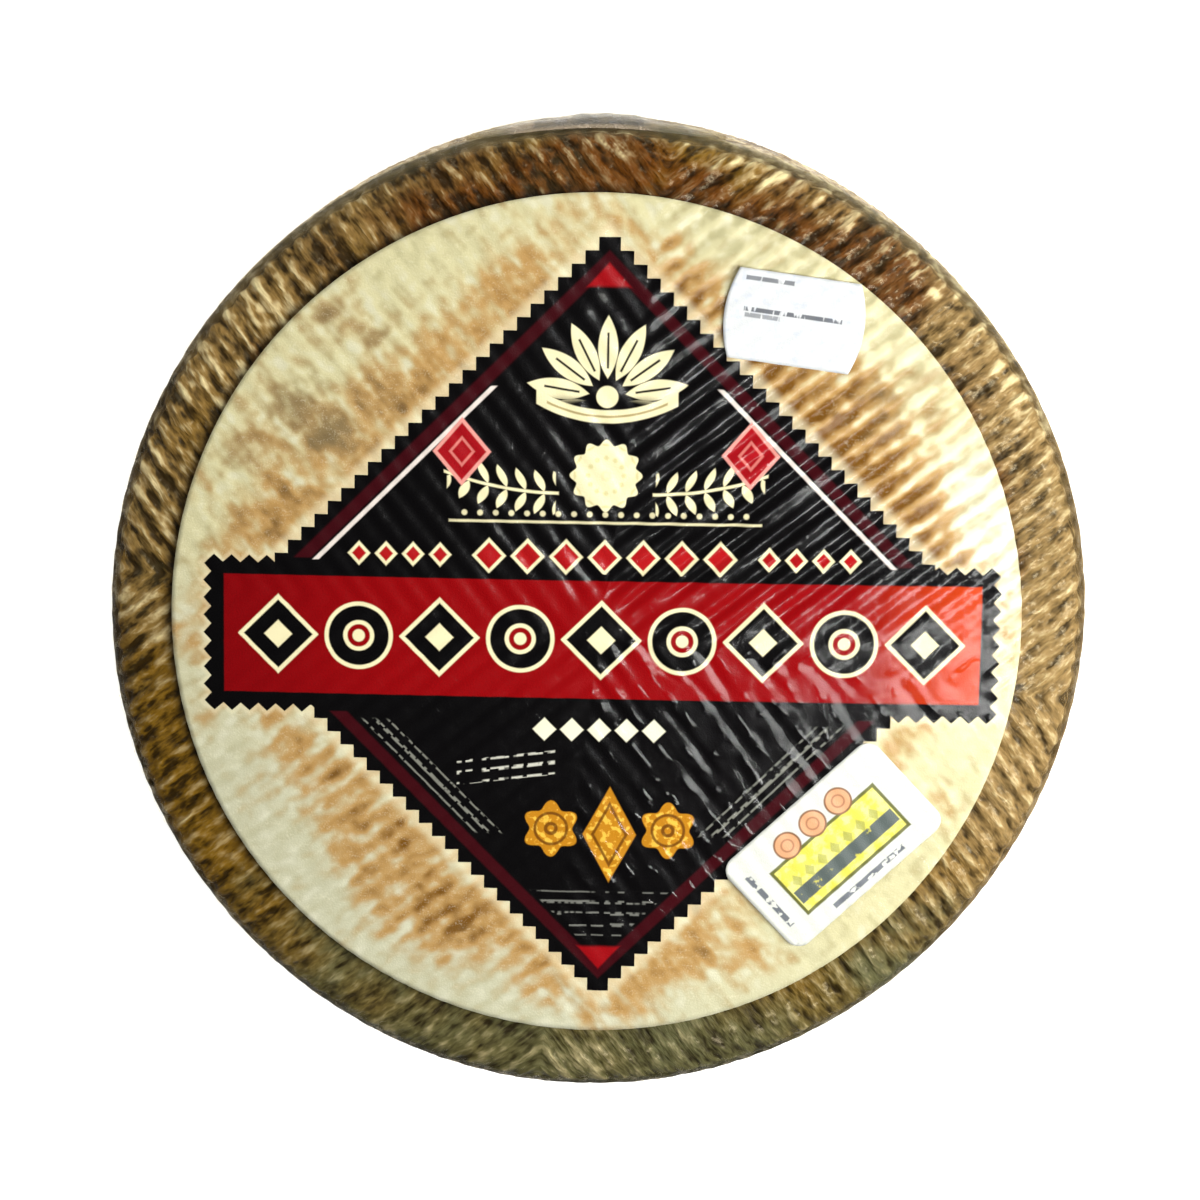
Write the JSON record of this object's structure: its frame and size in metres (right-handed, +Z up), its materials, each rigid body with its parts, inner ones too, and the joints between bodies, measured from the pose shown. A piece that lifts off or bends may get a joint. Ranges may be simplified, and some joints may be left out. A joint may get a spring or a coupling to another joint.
{
  "type": "whole cured cheese wheel in clear film",
  "caption": "Whole round wheel of cured pressed cheese in clear film, ridged top and plaited side, with a round printed paper label and small stickers.",
  "frame": {"origin": "middle of the wheel's base, on the surface that it rests on", "axes": "+Z up along the wheel's axis, out of the labelled face; +Y towards the top of the label's print; +X to its right"},
  "size_m": [0.192, 0.1934, 0.0958],
  "materials": {
    "rind": "brown to tan cheese rind with an oily sheen under film",
    "label_paper": "printed cream paper, satin",
    "price_paper": "white self-adhesive paper, matte",
    "grade_paper": "white self-adhesive paper with printed fields, satin",
    "film": "clear shrink film, glossy, slightly creased"
  },
  "bodies": {
    "root": {"cheese_wheel": "rind", "paper_label": "label_paper", "price_sticker": "price_paper", "grade_sticker": "grade_paper", "film_fold": "film"}
  },
  "joints": []
}
